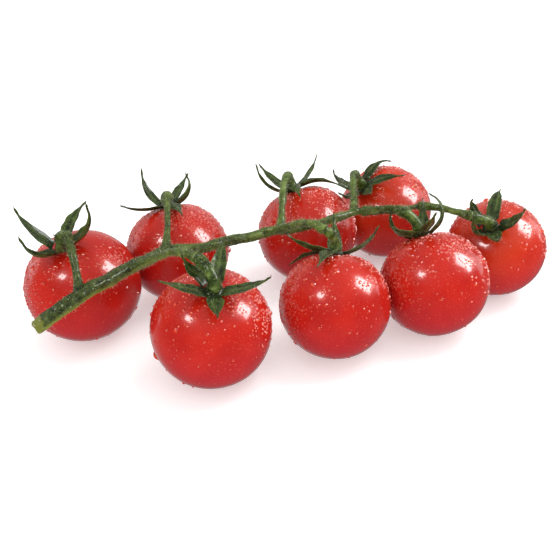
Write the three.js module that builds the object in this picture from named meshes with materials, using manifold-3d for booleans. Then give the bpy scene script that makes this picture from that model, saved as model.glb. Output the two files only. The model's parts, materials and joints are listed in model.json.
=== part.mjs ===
// A truss of small round vine tomatoes, picked whole and lying on a flat surface.
//
// Units are millimetres and +Z is up. The main stem runs along X, from its cut end at -X to the
// last fruit at +X. One row of fruits lies behind the stem (+Y) and one in front of it (-Y).
// The origin is the middle of the footprint, on the surface that the fruits rest on.
//
// The pieces are the main stem with the lower stalks that grow out of it, one upper stalk for each
// fruit, which parts from its lower stalk at a natural joint called the knuckle, one calyx of five
// sepals for each fruit, and the fruits.

import * as THREE from 'three';
import { mergeVertices } from 'three/addons/utils/BufferGeometryUtils.js';
import Module from 'manifold-3d';

const wasm = await Module();
wasm.setup();

// ---------------------------------------------------------------------------------------------
// Driving dimensions
// ---------------------------------------------------------------------------------------------

// Fruit
const fruitRadius = 16; //        widest radius of a middling fruit
const fruitFlatness = 0.97; //    height along the fruit's own axis over its width
const dimpleDepth = 1.2; //       hollow at the stalk end
const dimpleSpread = 22; //       degrees from the axis over which that hollow fades
const blossomDepth = 0.3; //      small hollow at the blossom end
const blossomSpread = 9; //       degrees from the axis over which that one fades
const restingDepth = 0.25; //     how far the skin is pressed flat where a fruit rests
const fruitGap = 0.3; //          least space between two fruits that lie side by side

// Main stem
const stemLength = 120; //        along X, from the cut end to the last fork
const stemWidth = 4.2; //         at the cut end
const stemTipWidth = 1.9; //      at the last fork
const stemFromFruit = 1; //       least space between green parts and the fruits that they pass

// Stalks
const lowerStalkWidth = 2.2;
const forkFlare = 0.6; //         extra radius where a lower stalk grows out of the stem
const forkReach = 2.5; //         length over which that flare fades
const knuckleWidth = 3.5;
const knuckleReach = 1.8; //      length over which the knuckle fades into each stalk
const upperStalkLength = 9; //    straight from the knuckle to the fruit
const upperStalkWidth = 2.9;
const upperStalkEndWidth = 3.8; // where it meets the calyx
const forkHandle = 0.35; //       how long a stalk holds its direction at each end, over its span
const knuckleHandle = 0.3;
const seatHandle = 0.45;

// Calyx
const hubRim = 0.9; //            the disc that the sepals grow from stands this far outside the stalk
const hubHeight = 1.3;
const sepalLength = 15;
const sepalWidth = 3.4;
const sepalThickness = 0.9;
const sepalTipWidth = 0.5;

// Fits
const seatGap = 0.3; //           between two pieces that meet
const stalkGap = 0.6; //          between a sepal and a stem or stalk that it passes

// Facets
const fruitSides = 24;
const fruitBands = 14;
const hubSides = 12;
const stemSides = 10;
const stemSteps = 44;
const stalkSides = 8;
const lowerStalkSteps = 9;
const upperStalkSteps = 7;
const sepalSteps = 7;

// The fruits in order from the cut end.
//   along    place along the stem, in stem lengths from the cut end
//   side     place across it, in fruit radii: positive is behind the stem
//   size     the fruit's radius over fruitRadius
//   lean     degrees that the stalk end leans from upright, and leanTo the bearing of that lean
//   fork     where its stalk leaves the stem, in stem lengths
//   follow   how far the stalk first follows the stem: 0 not at all, 1 half way
//   knuckle  from the fruit's stalk end to the knuckle, in upper stalk lengths
//   sepals   for each: turn about the fruit's axis, length in sepalLengths, degrees of rise at
//            the root, and degrees that it curls upwards from root to tip (negative: downwards)
const fruits = [
  {
    along: 0.11, side: 0.45, size: 1.03, lean: 17, leanTo: 207, fork: 0.088, follow: 0.1,
    knuckle: [0.14, -0.72, 0.68],
    sepals: [[155, 1, 45, 50], [225, 1.03, 10, 85], [285, 0.97, 30, 50], [340, 1.05, 10, 80],
      [55, 0.97, 20, -25]],
  },
  {
    along: 0.362, side: 1.17, size: 1, lean: 21, leanTo: 103, fork: 0.3, follow: 0.2,
    knuckle: [-0.09, -0.47, 0.64],
    sepals: [[130, 0.93, 25, 85], [205, 0.93, -5, 35], [270, 0.97, 10, -30], [345, 0.75, 0, 110],
      [47, 1, 30, 0]],
  },
  {
    along: 0.351, side: -1.64, size: 1.005, lean: 18, leanTo: 271, fork: 0.2, follow: 0.8,
    knuckle: [-0.3, 0.53, 0.86],
    sepals: [[124, 0.7, 25, 40], [190, 1, 33, 10], [256, 0.97, 22, 18], [324, 1, 27, 30],
      [66, 0.97, 20, -30]],
  },
  {
    along: 0.724, side: 1.02, size: 1.02, lean: 27, leanTo: 114, fork: 0.59, follow: 0,
    knuckle: [-0.42, -0.43, 0.8],
    sepals: [[115, 0.97, 30, 35], [188, 0.97, 10, 90], [258, 0.97, 15, -45], [330, 0.93, 15, -60],
      [30, 1.05, 12, 30]],
  },
  {
    along: 0.647, side: -1.65, size: 0.97, lean: 28, leanTo: 68, fork: 0.555, follow: 0.8,
    knuckle: [-0.37, 0.03, 0.93],
    sepals: [[125, 0.87, 5, -40], [182, 0.87, 5, 30], [230, 1, 0, -25], [355, 0.87, 5, 60],
      [68, 0.97, 30, 37]],
  },
  {
    along: 0.993, side: 1.43, size: 1.01, lean: 40, leanTo: 185, fork: 0.79, follow: 0.1,
    knuckle: [-0.61, -0.36, 0.7],
    sepals: [[143, 0.8, 35, 85], [220, 0.9, 22, 50], [266, 0.97, 24, 10], [312, 0.93, 20, -30],
      [23, 0.93, 20, -82]],
  },
  {
    along: 0.913, side: -1.62, size: 0.99, lean: 33, leanTo: 99, fork: 0.815, follow: 0.8,
    knuckle: [-0.4, 0.6, 0.7],
    sepals: [[160, 0.83, 5, 130], [215, 0.93, 0, 35], [262, 0.95, 15, 5], [335, 0.95, 0, 140],
      [48, 0.97, 15, 60]],
  },
  {
    along: 1.17, side: -0.79, size: 0.965, lean: 39, leanTo: 216, fork: 0.96, follow: 1,
    knuckle: [-0.83, 0.06, 0.53],
    sepals: [[118, 0.85, 45, 70], [197, 1, 40, 75], [252, 0.97, 35, 35], [318, 0.98, 33, 46],
      [47, 0.95, 18, -70]],
  },
];

// The main stem's course, which bends a little at every fork: [place along it in stem lengths,
// place across it, depth below the tops of the fruits].
const stemCourse = [
  [-0.01, -19.9, 10.8], [0.05, -18.6, 7], [0.112, -15.6, 5], [0.163, -11.4, 5], [0.208, -7.6, 5],
  [0.26, -3.6, 5.4], [0.31, -1.2, 5], [0.38, -3.2, 5], [0.454, -1.4, 5], [0.524, -1, 5],
  [0.57, -0.5, 4.5], [0.62, -2.6, 4], [0.68, -3, 3.2], [0.75, -1.8, 2.8], [0.81, -0.7, 2.5],
  [0.84, -2.5, 2.5], [0.9, -4.3, 2.5], [0.96, -4.6, 2],
];

// ---------------------------------------------------------------------------------------------
// Small helpers
// ---------------------------------------------------------------------------------------------

const up = new THREE.Vector3(0, 0, 1);
const radians = THREE.MathUtils.degToRad;
const mix = THREE.MathUtils.lerp;

// A bump that is 1 at zero and fades to nothing within about twice its reach.
function bump(distance, reach) {
  return Math.exp(-((distance / reach) ** 2));
}

// A closed indexed geometry through rings of points. Each ring turns anticlockwise about the
// direction in which the rings follow each other, and a fan of triangles closes each end.
function loft(rings) {
  const around = rings[0].length;
  const points = rings.flat();
  const middles = [rings[0], rings.at(-1)].map(
    (ring) => ring.reduce((sum, point) => sum.add(point), new THREE.Vector3()).divideScalar(around),
  );
  const first = points.length;
  const last = first + 1;
  const endRing = (rings.length - 1) * around;
  const faces = [];
  for (let side = 0; side < around; side += 1) {
    const next = (side + 1) % around;
    for (let row = 0; row < endRing; row += around) {
      faces.push(row + side, row + next, row + around + next);
      faces.push(row + side, row + around + next, row + around + side);
    }
    faces.push(first, next, side);
    faces.push(last, endRing + side, endRing + next);
  }
  const geometry = new THREE.BufferGeometry().setFromPoints([...points, ...middles]);
  geometry.setIndex(faces);
  return geometry;
}

// A round rod of changing thickness through stations, each with a point, a direction and a radius.
// The section is carried along without twisting.
function rod(stations, sides) {
  let across = new THREE.Vector3().crossVectors(up, stations[0].direction).normalize();
  const rings = stations.map(({ point, direction, radius }) => {
    across = across.addScaledVector(direction, -across.dot(direction)).normalize();
    const third = new THREE.Vector3().crossVectors(direction, across);
    return Array.from({ length: sides }, (_, side) => {
      const angle = (side / sides) * 2 * Math.PI;
      return point.clone()
        .addScaledVector(across, radius * Math.cos(angle))
        .addScaledVector(third, radius * Math.sin(angle));
    });
  });
  return loft(rings);
}

function toSolid(geometry) {
  const bare = geometry.clone();
  bare.deleteAttribute('normal');
  bare.deleteAttribute('uv');
  const merged = mergeVertices(bare, 1e-4);
  return new wasm.Manifold(new wasm.Mesh({
    numProp: 3,
    vertProperties: Float32Array.from(merged.attributes.position.array),
    triVerts: Uint32Array.from(merged.index.array),
  }));
}

function toGeometry(solid) {
  const { vertProperties, triVerts } = solid.getMesh();
  const geometry = new THREE.BufferGeometry();
  geometry.setAttribute('position', new THREE.BufferAttribute(vertProperties, 3));
  geometry.setIndex(new THREE.BufferAttribute(triVerts, 1));
  geometry.computeVertexNormals();
  return geometry;
}

function join(geometries) {
  return toGeometry(geometries.map(toSolid).reduce((whole, piece) => whole.add(piece)));
}

// ---------------------------------------------------------------------------------------------
// Fruit
// ---------------------------------------------------------------------------------------------

// Distance of the skin from the fruit's centre, at an angle in radians from its stalk end.
function skin(radius, angle) {
  const round = radius * (1 - (1 - fruitFlatness) * Math.cos(angle) ** 2);
  const stalkEnd = dimpleDepth * bump(angle, radians(dimpleSpread));
  const blossomEnd = blossomDepth * bump(Math.PI - angle, radians(blossomSpread));
  return round - stalkEnd - blossomEnd;
}

// The whole fruit about its own axis, stalk end up.
function roundFruit(radius) {
  const profile = Array.from({ length: fruitBands + 1 }, (_, band) => {
    const angle = Math.PI * (1 - band / fruitBands);
    const width = band % fruitBands === 0 ? 0 : skin(radius, angle) * Math.sin(angle);
    return new THREE.Vector2(width, skin(radius, angle) * Math.cos(angle));
  });
  // A lathe turns about Y, so its shape is stood up on Z afterwards.
  return new THREE.LatheGeometry(profile, fruitSides).rotateX(Math.PI / 2);
}

// Everything about a fruit's place that the other pieces need.
function placeFruit(fruit) {
  const radius = fruitRadius * fruit.size;
  const axis = up.clone()
    .applyAxisAngle(new THREE.Vector3(0, 1, 0), radians(fruit.lean))
    .applyAxisAngle(up, radians(fruit.leanTo));
  const turn = new THREE.Quaternion().setFromUnitVectors(up, axis);
  const leaned = roundFruit(radius).applyQuaternion(turn);
  leaned.computeBoundingBox();
  const height = -leaned.boundingBox.min.z - restingDepth;
  const centre = new THREE.Vector3(fruit.along * stemLength, fruit.side * fruitRadius, height);
  return { ...fruit, radius, axis, turn, centre };
}

// Neighbours that would press into each other roll apart along the surface.
function rollApart(placed) {
  const passes = 60;
  for (let pass = 0; pass < passes; pass += 1) {
    placed.forEach((one, index) => {
      placed.slice(index + 1).forEach((other) => {
        const between = other.centre.clone().sub(one.centre);
        const missing = one.radius + other.radius + fruitGap - between.length();
        if (missing > 0) {
          const step = between.setZ(0).setLength(missing / 2);
          one.centre.sub(step);
          other.centre.add(step);
        }
      });
    });
  }
}

// The fruit in its own frame, with the patch that it rests on cut flat.
function restingFruit(fruit) {
  const slabHeight = fruit.radius;
  const slab = new THREE.BoxGeometry(2 * fruit.radius, 2 * fruit.radius, slabHeight);
  slab.translate(0, 0, -fruit.centre.z - slabHeight / 2);
  slab.applyQuaternion(fruit.turn.clone().invert());
  return toGeometry(toSolid(roundFruit(fruit.radius)).subtract(toSolid(slab)));
}

const placed = fruits.map(placeFruit);
rollApart(placed);

// Moves a point straight out of every fruit that it is too near to.
function clearOfFruits(point, room) {
  placed.forEach(({ centre, axis, radius }) => {
    const out = point.clone().sub(centre);
    const least = skin(radius, out.angleTo(axis)) + room;
    if (out.length() < least) {
      point.copy(centre).add(out.setLength(least));
    }
  });
  return point;
}

// ---------------------------------------------------------------------------------------------
// Main stem and stalks
// ---------------------------------------------------------------------------------------------

const stemCurve = new THREE.CatmullRomCurve3(stemCourse.map(([along, side, depth]) => {
  const point = new THREE.Vector3(along * stemLength, side, 2 * fruitRadius - depth);
  return clearOfFruits(point, stemWidth / 2 + stemFromFruit);
}));

function stemRadius(share) {
  return mix(stemWidth, stemTipWidth, share) / 2;
}

function stationsAlong(curve, steps, radiusAt, room) {
  const length = curve.getLength();
  return Array.from({ length: steps + 1 }, (_, step) => {
    const share = step / steps;
    const radius = radiusAt(share, share * length, length);
    const point = curve.getPointAt(share);
    const middle = step > 0 && step < steps;
    return {
      point: middle ? clearOfFruits(point, radius + room) : point,
      direction: curve.getTangentAt(share),
      radius,
    };
  });
}

// The share of the stem's own length at which it reaches a place along X.
function shareOfStem(along) {
  const looks = 400;
  const nearest = (share) => Math.abs(stemCurve.getPointAt(share).x - along * stemLength);
  let best = 0;
  for (let look = 1; look <= looks; look += 1) {
    best = nearest(look / looks) < nearest(best) ? look / looks : best;
  }
  return best;
}

// The points that a fruit's stalks run between. Both stalks meet the knuckle in one direction, half
// way round the bend, with a small gap between their flat ends.
function stalkPoints(fruit) {
  const skinTop = fruit.centre.clone().addScaledVector(fruit.axis, skin(fruit.radius, 0));
  const knuckle = skinTop.clone()
    .addScaledVector(new THREE.Vector3(...fruit.knuckle), upperStalkLength);
  const share = shareOfStem(fruit.fork);
  const fork = stemCurve.getPointAt(share);
  const rising = knuckle.clone().sub(fork).normalize();
  const falling = skinTop.clone().sub(knuckle).normalize();
  const bend = rising.clone().add(falling).normalize();
  const leaving = stemCurve.getTangentAt(share).multiplyScalar(fruit.follow).add(rising).normalize();
  const seat = skinTop.clone().addScaledVector(fruit.axis, hubHeight + 2 * seatGap);
  return { knuckle, fork, bend, leaving, seat };
}

function lowerStalk(fruit) {
  const { knuckle, fork, bend, leaving } = stalkPoints(fruit);
  const end = knuckle.clone().addScaledVector(bend, -seatGap / 2);
  const reach = fork.distanceTo(end);
  const curve = new THREE.CubicBezierCurve3(
    fork,
    fork.clone().addScaledVector(leaving, reach * forkHandle),
    end.clone().addScaledVector(bend, -reach * knuckleHandle),
    end,
  );
  const radiusAt = (_, from, length) => lowerStalkWidth / 2
    + forkFlare * bump(from, forkReach)
    + ((knuckleWidth - lowerStalkWidth) / 2) * bump(length - from, knuckleReach);
  return stationsAlong(curve, lowerStalkSteps, radiusAt, stemFromFruit);
}

function upperStalk(fruit) {
  const { knuckle, bend, seat } = stalkPoints(fruit);
  const start = knuckle.clone().addScaledVector(bend, seatGap / 2);
  const reach = start.distanceTo(seat);
  const curve = new THREE.CubicBezierCurve3(
    start,
    start.clone().addScaledVector(bend, reach * knuckleHandle),
    seat.clone().addScaledVector(fruit.axis, reach * seatHandle),
    seat,
  );
  const radiusAt = (_, from, length) => upperStalkWidth / 2
    + ((knuckleWidth - upperStalkWidth) / 2) * bump(from, knuckleReach)
    + ((upperStalkEndWidth - upperStalkWidth) / 2) * bump(length - from, knuckleReach);
  return stationsAlong(curve, upperStalkSteps, radiusAt, seatGap);
}

const stemStations = stationsAlong(stemCurve, stemSteps, stemRadius, stemFromFruit);
const lowerStalks = placed.map(lowerStalk);
const upperStalks = placed.map(upperStalk);

// ---------------------------------------------------------------------------------------------
// Calyx, in its fruit's own frame: the origin is the fruit's centre and +Z its stalk end
// ---------------------------------------------------------------------------------------------

// A thick disc whose underside follows the skin.
function hub(fruit) {
  const hubRadius = upperStalkEndWidth / 2 + hubRim;
  const flat = skin(fruit.radius, 0) + seatGap;
  const underside = [0, 0.5, 1].map((share) => {
    const angle = Math.asin((share * hubRadius) / fruit.radius);
    const out = skin(fruit.radius, angle) + seatGap;
    return new THREE.Vector2(out * Math.sin(angle), out * Math.cos(angle));
  });
  const profile = [
    ...underside,
    new THREE.Vector2(hubRadius, flat + hubHeight / 2),
    new THREE.Vector2(upperStalkEndWidth / 2, flat + hubHeight),
    new THREE.Vector2(0, flat + hubHeight),
  ];
  return new THREE.LatheGeometry(profile, hubSides).rotateX(Math.PI / 2);
}

// Moves a point out of the stems and stalks that it is too near to.
function clearOfStalks(point, room) {
  [...stemStations, ...lowerStalks.flat(), ...upperStalks.flat()].forEach((station) => {
    const out = point.clone().sub(station.point);
    const least = station.radius + room;
    if (out.length() < least) {
      point.copy(station.point).add(out.setLength(least));
    }
  });
  return point;
}

// A sepal is lance-shaped: broadest a quarter of the way out, and drawn to a point at the tip.
function widthOfSepal(share) {
  const rootShare = 0.3;
  const pointing = 1.3;
  const outline = Math.sin(Math.PI * mix(rootShare, 1, share)) ** pointing;
  return Math.max(sepalWidth * outline, sepalTipWidth);
}

// The line through the middle of a sepal. It grows step by step from the hub, bends evenly from
// root to tip, and goes round whatever is in its way.
function sepalLine(fruit, [turn, length, rise, curl]) {
  const detours = 4;
  const fruitRoom = 1.5 * seatGap + sepalThickness / 2;
  const step = (length * sepalLength) / sepalSteps;
  const outward = new THREE.Vector3(1, 0, 0).applyAxisAngle(up, radians(turn));
  const unturn = fruit.turn.clone().invert();
  const point = outward.clone().multiplyScalar(upperStalkEndWidth / 2 + seatGap);
  point.z = skin(fruit.radius, 0) + seatGap + sepalThickness / 2;
  const line = [point.clone()];
  for (let count = 1; count <= sepalSteps; count += 1) {
    const slope = radians(rise + (curl * (count - 0.5)) / sepalSteps);
    point.addScaledVector(outward, Math.cos(slope) * step).addScaledVector(up, Math.sin(slope) * step);
    point.applyQuaternion(fruit.turn).add(fruit.centre);
    for (let pass = 0; pass < detours; pass += 1) {
      clearOfStalks(point, stalkGap + widthOfSepal(count / sepalSteps) / 2);
      clearOfFruits(point, fruitRoom);
    }
    point.sub(fruit.centre).applyQuaternion(unturn);
    line.push(point.clone());
  }
  return line;
}

// Corners of a blade's section, in half widths and half thicknesses: it is thickest along its
// middle and thin at both edges.
const bladeSection = [[1, 0], [0.4, 1], [-0.4, 1], [-1, 0], [-0.4, -1], [0.4, -1]];

function sepal(fruit, values) {
  const line = sepalLine(fruit, values);
  const turn = radians(values[0]);
  const sideways = new THREE.Vector3(-Math.sin(turn), Math.cos(turn), 0);
  const rings = line.map((point, count) => {
    const share = count / sepalSteps;
    const before = line[Math.max(count - 1, 0)];
    const after = line[Math.min(count + 1, sepalSteps)];
    const ahead = after.clone().sub(before).normalize();
    const across = sideways.clone().addScaledVector(ahead, -sideways.dot(ahead)).normalize();
    const face = new THREE.Vector3().crossVectors(ahead, across);
    const width = widthOfSepal(share);
    const thickness = mix(sepalThickness, sepalTipWidth, share);
    return bladeSection.map(([wide, thick]) => point.clone()
      .addScaledVector(across, (wide * width) / 2)
      .addScaledVector(face, (thick * thickness) / 2));
  });
  return loft(rings);
}

function calyx(fruit) {
  return join([hub(fruit), ...fruit.sepals.map((values) => sepal(fruit, values))]);
}

// ---------------------------------------------------------------------------------------------
// Assembly
// ---------------------------------------------------------------------------------------------

function material(name, color, roughness) {
  return new THREE.MeshStandardMaterial({ name, color, roughness, metalness: 0 });
}

const ripeSkin = material('ripe_skin', '#c62a1c', 0.25);
const stemGreen = material('stem_green', '#55702f', 0.6);
const stalkGreen = material('stalk_green', '#4b6a2c', 0.6);
const sepalGreen = material('sepal_green', '#37552a', 0.65);

function piece(name, geometry, look) {
  const mesh = new THREE.Mesh(geometry, look);
  mesh.name = name;
  return mesh;
}

const truss = new THREE.Group();
const stemParts = [rod(stemStations, stemSides)];
stemParts.push(...lowerStalks.map((stations) => rod(stations, stalkSides)));
truss.add(piece('main_stem', join(stemParts), stemGreen));

placed.forEach((fruit, index) => {
  const number = index + 1;
  const hanging = new THREE.Group();
  hanging.position.copy(fruit.centre);
  hanging.quaternion.copy(fruit.turn);
  hanging.add(piece(`tomato_${number}`, restingFruit(fruit), ripeSkin));
  hanging.add(piece(`calyx_${number}`, calyx(fruit), sepalGreen));
  truss.add(hanging);
  truss.add(piece(`upper_stalk_${number}`, rod(upperStalks[index], stalkSides), stalkGreen));
});

// The origin goes to the middle of the footprint.
truss.updateMatrixWorld(true);
const bounds = new THREE.Box3().setFromObject(truss, true);
const middle = bounds.getCenter(new THREE.Vector3());
truss.position.set(-middle.x, -middle.y, -bounds.min.z);

const part = new THREE.Group();
part.add(truss);

export default part;
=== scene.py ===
# %% [markdown]
# # A truss of eight small tomatoes
#
# The real thing grew in one piece: a green main stem, eight stalks with a knuckle in each, a
# five-pointed calyx at the end of every stalk, and eight ripe fruits, still wet from washing.
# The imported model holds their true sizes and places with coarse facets. This lesson grows the
# fine surfaces around it: smooth skins, thin leafy sepals, fused forks, hairs and water.

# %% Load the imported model
import itertools
import json
import math
import random

import bmesh
import bpy
import numpy as np
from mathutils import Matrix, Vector, noise
from mathutils.bvhtree import BVHTree
from mathutils.kdtree import KDTree

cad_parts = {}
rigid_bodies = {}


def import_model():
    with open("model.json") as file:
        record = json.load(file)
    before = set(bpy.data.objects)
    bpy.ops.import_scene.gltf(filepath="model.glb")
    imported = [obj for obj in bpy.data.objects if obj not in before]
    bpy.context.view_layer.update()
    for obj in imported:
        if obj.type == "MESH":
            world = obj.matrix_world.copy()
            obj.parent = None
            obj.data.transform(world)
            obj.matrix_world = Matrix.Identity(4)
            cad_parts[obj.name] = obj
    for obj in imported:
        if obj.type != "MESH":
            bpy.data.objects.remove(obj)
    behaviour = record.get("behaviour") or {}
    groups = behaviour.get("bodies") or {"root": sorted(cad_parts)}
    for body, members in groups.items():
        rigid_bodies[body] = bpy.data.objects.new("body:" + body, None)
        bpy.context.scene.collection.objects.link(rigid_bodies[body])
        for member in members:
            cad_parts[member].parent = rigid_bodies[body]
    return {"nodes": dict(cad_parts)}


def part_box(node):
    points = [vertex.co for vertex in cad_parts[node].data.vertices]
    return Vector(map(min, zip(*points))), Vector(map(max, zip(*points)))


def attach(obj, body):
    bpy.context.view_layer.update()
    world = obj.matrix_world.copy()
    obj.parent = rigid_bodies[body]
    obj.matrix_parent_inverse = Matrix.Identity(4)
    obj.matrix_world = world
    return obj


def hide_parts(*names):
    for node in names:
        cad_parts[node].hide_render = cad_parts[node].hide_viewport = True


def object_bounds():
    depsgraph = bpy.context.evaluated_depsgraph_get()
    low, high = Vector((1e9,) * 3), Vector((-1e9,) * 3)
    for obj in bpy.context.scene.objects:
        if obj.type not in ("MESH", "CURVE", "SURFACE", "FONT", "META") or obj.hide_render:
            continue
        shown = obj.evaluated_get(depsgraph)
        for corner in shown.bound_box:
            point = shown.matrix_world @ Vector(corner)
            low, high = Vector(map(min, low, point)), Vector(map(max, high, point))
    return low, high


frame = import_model()
cad_low, cad_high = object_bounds()
nodes = frame["nodes"]
mm = 0.001
numbers = range(1, 1 + sum(name.startswith("tomato_") for name in nodes))
print("packed nodes:", len(nodes), "fruits:", len(numbers))
print("packed box in mm:", [round(side / mm, 1) for side in cad_high - cad_low])

# %% [markdown]
# ## Camera
#
# The truss lies on a table and is seen from its front left, thirty degrees above the table. The
# camera could be placed by eye, but a point to aim at, a bearing and a distance are easier to
# read and to change. Both depth of field and lens shift stay off.

# %% Camera
view_bearing, view_height = -110, 30 #  where the camera stands, seen from the truss, in degrees
view_distance = 206.2 * mm
aim_from_middle = Vector((-9.0, -2.8, -5.8)) * mm
lens, sensor_width = 45.4, 36 #         both in true millimetres, as on a camera


def direction(bearing, height):
    """The unit vector at a bearing from +X and a height above the table, both in degrees."""
    turn, lift = math.radians(bearing), math.radians(height)
    return Vector((math.cos(turn) * math.cos(lift), math.sin(turn) * math.cos(lift), math.sin(lift)))


def in_scene(item):
    """Links a new object into the scene, and hands it back."""
    bpy.context.scene.collection.objects.link(item)
    return item


middle = (cad_low + cad_high) / 2
aim = middle + aim_from_middle
towards_camera = direction(view_bearing, view_height)
camera = in_scene(bpy.data.objects.new("camera", bpy.data.cameras.new("camera")))
camera.data.sensor_width = sensor_width
camera.data.lens = lens
camera.data.clip_start = 5 * mm
camera.location = aim + towards_camera * view_distance
camera.rotation_euler = (-towards_camera).to_track_quat("-Z", "Y").to_euler()
bpy.context.scene.camera = camera
print("camera in mm:", [round(side / mm, 1) for side in camera.location])

# %% [markdown]
# ## Maths with nodes
#
# Every finish below is a small formula: a noise here, a mask there, and one colour laid over
# another. Nodes could be added one by one, but a formula reads better. So a wire, which is a
# node's output, takes part in ordinary arithmetic, and each step adds its Math node.

# %% A wire between nodes
class Wire:
    """A node's output. Arithmetic on wires adds the Math nodes that work it out."""

    def __init__(self, tree, socket):
        self.tree = tree
        self.socket = socket

    @staticmethod
    def fill(node, sockets):
        """Gives a node's sockets their values, or links them to wires."""
        for name, value in sockets.items():
            if isinstance(value, Wire):
                value.tree.links.new(value.socket, node.inputs[name])
            else:
                node.inputs[name].default_value = value

    @staticmethod
    def add(tree, kind, settings, sockets, output=0):
        """A new node with its settings first and its sockets next; gives its output."""
        node = tree.nodes.new(kind)
        for name, value in settings.items():
            setattr(node, name, value)
        Wire.fill(node, sockets)
        return Wire(tree, node.outputs[output])

    def worked(self, operation, *values):
        """A Math node with this operation on these values."""
        return Wire.add(self.tree, "ShaderNodeMath", {"operation": operation}, dict(enumerate(values)))

    def __add__(self, other):
        return self.worked("ADD", self, other)

    def __sub__(self, other):
        return self.worked("SUBTRACT", self, other)

    def __rsub__(self, other):
        return self.worked("SUBTRACT", other, self)

    def __mul__(self, other):
        return self.worked("MULTIPLY", self, other)

    __radd__ = __add__
    __rmul__ = __mul__

    def fade(self, start, end):
        """0 up to start, 1 from end on, and a smooth change between them."""
        settings = {"interpolation_type": "SMOOTHSTEP"}
        sockets = {"Value": self, "From Min": start, "From Max": end}
        return Wire.add(self.tree, "ShaderNodeMapRange", settings, sockets)

    def blend(self, under, over):
        """The colour under where this wire is 0, and the colour over where it is 1."""
        sockets = {0: self, 6: under, 7: over}
        return Wire.add(self.tree, "ShaderNodeMix", {"data_type": "RGBA"}, sockets, 2)


def colour(code):
    """The linear colour for a screen colour written like #c8321f."""
    parts = [int(code[place:place + 2], 16) / 255 for place in (1, 3, 5)]
    return [part / 12.92 if part <= 0.04045 else ((part + 0.055) / 1.055) ** 2.4 for part in parts] + [1]


# %% [markdown]
# ## Light and floor
#
# Washed fruit is shown well on a bright table under a bright ceiling. Two broad lamps, one above
# and one at the front, give soft shade with a direction, and the table glows a little, as a light
# table does. One larger softbox at the back right and one smaller at the left give each fruit its
# two window-like highlights, and a dim panel on either side adds a sheen. These four are seen only
# in reflections, so that their brightness can be set on its own. One even sky for everything would
# be simpler. But a red skin that mirrors white all over looks pink, so the sky has a second, dimmer
# face for reflections, bright only past the truss, where it draws a pale rim along each outline.

# %% Sky
studio = bpy.data.worlds.new("studio")
studio.use_nodes = True
bpy.context.scene.world = studio
sky_tree = studio.node_tree
even_sky = 0.98 #                what lights the scene
low_sky, high_sky = 0.12, 0.5 #  what the skins mirror, at the horizon and overhead
table_glow = 0.22 #              the same from below, where the pale table lies
far_glow = 0.45 #                added past the truss, for the pale rims
heading = Wire.add(sky_tree, "ShaderNodeTexCoord", {}, {}, "Generated")
# upward runs from -1 straight down to 1 overhead, and onward from -1 in front to 1 past the truss
upward = Wire.add(sky_tree, "ShaderNodeSeparateXYZ", {}, {"Vector": heading}, "Z")
onward = Wire.add(sky_tree, "ShaderNodeSeparateXYZ", {}, {"Vector": heading}, "Y")
mirrored = low_sky + (high_sky - low_sky) * upward.fade(0.25, 0.95)
mirrored = mirrored + (table_glow - low_sky) * (0 - upward).fade(0.05, 0.5)
mirrored = mirrored + far_glow * onward.fade(0.35, 0.9) * (1 - upward.fade(0.3, 0.8))
is_mirrored = Wire.add(sky_tree, "ShaderNodeLightPath", {}, {}, "Is Glossy Ray")
strength = even_sky * (1 - is_mirrored) + mirrored * is_mirrored
Wire.fill(sky_tree.nodes["Background"], {"Color": (1, 1, 1, 1), "Strength": strength})
bpy.context.scene.view_settings.view_transform = "Standard"
print("sky:", even_sky, "and in reflections from", low_sky, "to", high_sky)


# %% Lamps
def softbox(name, place, width, depth, brightness):
    """A lamp with a flat white face, turned to the truss."""
    lamp = bpy.data.lights.new(name, "AREA")
    lamp.shape = "RECTANGLE"
    lamp.size = width
    lamp.size_y = depth
    lamp.energy = brightness * math.pi * width * depth
    stand = in_scene(bpy.data.objects.new(name, lamp))
    stand.location = place
    stand.rotation_euler = (place - middle).to_track_quat("Z", "Y").to_euler()
    print(name, round(lamp.energy, 2), "W")
    return stand


large_lamp_way = direction(-17, 41)
large_lamp_place = large_lamp_way * 430 * mm
small_lamp_place = direction(-158, 46) * 560 * mm
# each lamp's name, place, width, depth and brightness
shade_lamps = [("ceiling_lamp", direction(10, 58) * 3.0, 1.7, 1.7, 4.0),
               ("front_fill", direction(-125, 28) * 2.5, 1.6, 1.2, 2.0)]
mirrored_lamps = [("large_softbox", large_lamp_place, 175 * mm, 235 * mm, 22),
                  ("small_softbox", small_lamp_place, 120 * mm, 100 * mm, 26),
                  ("right_panel", direction(6, 14) * 1.2, 0.5, 0.6, 1.8),
                  ("left_panel", direction(134, 6) * 1.2, 0.5, 0.5, 0.9)]
for lamp in shade_lamps:
    softbox(*lamp).visible_glossy = False
for lamp in mirrored_lamps:
    softbox(*lamp).visible_diffuse = False


# %% Floor
def new_piece(name, points, faces, look):
    """A mesh object with smooth shading and one finish."""
    mesh = bpy.data.meshes.new(name)
    mesh.from_pydata([tuple(point) for point in points], [], faces)
    mesh.shade_smooth()
    mesh.materials.append(look)
    return in_scene(bpy.data.objects.new(name, mesh))


def new_look(name):
    """A new finish with one shader in it."""
    look = bpy.data.materials.new(name)
    look.use_nodes = True
    return look


def set_shader(look, sockets):
    """Sets or links sockets of a finish's shader."""
    Wire.fill(look.node_tree.nodes["Principled BSDF"], sockets)


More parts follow.
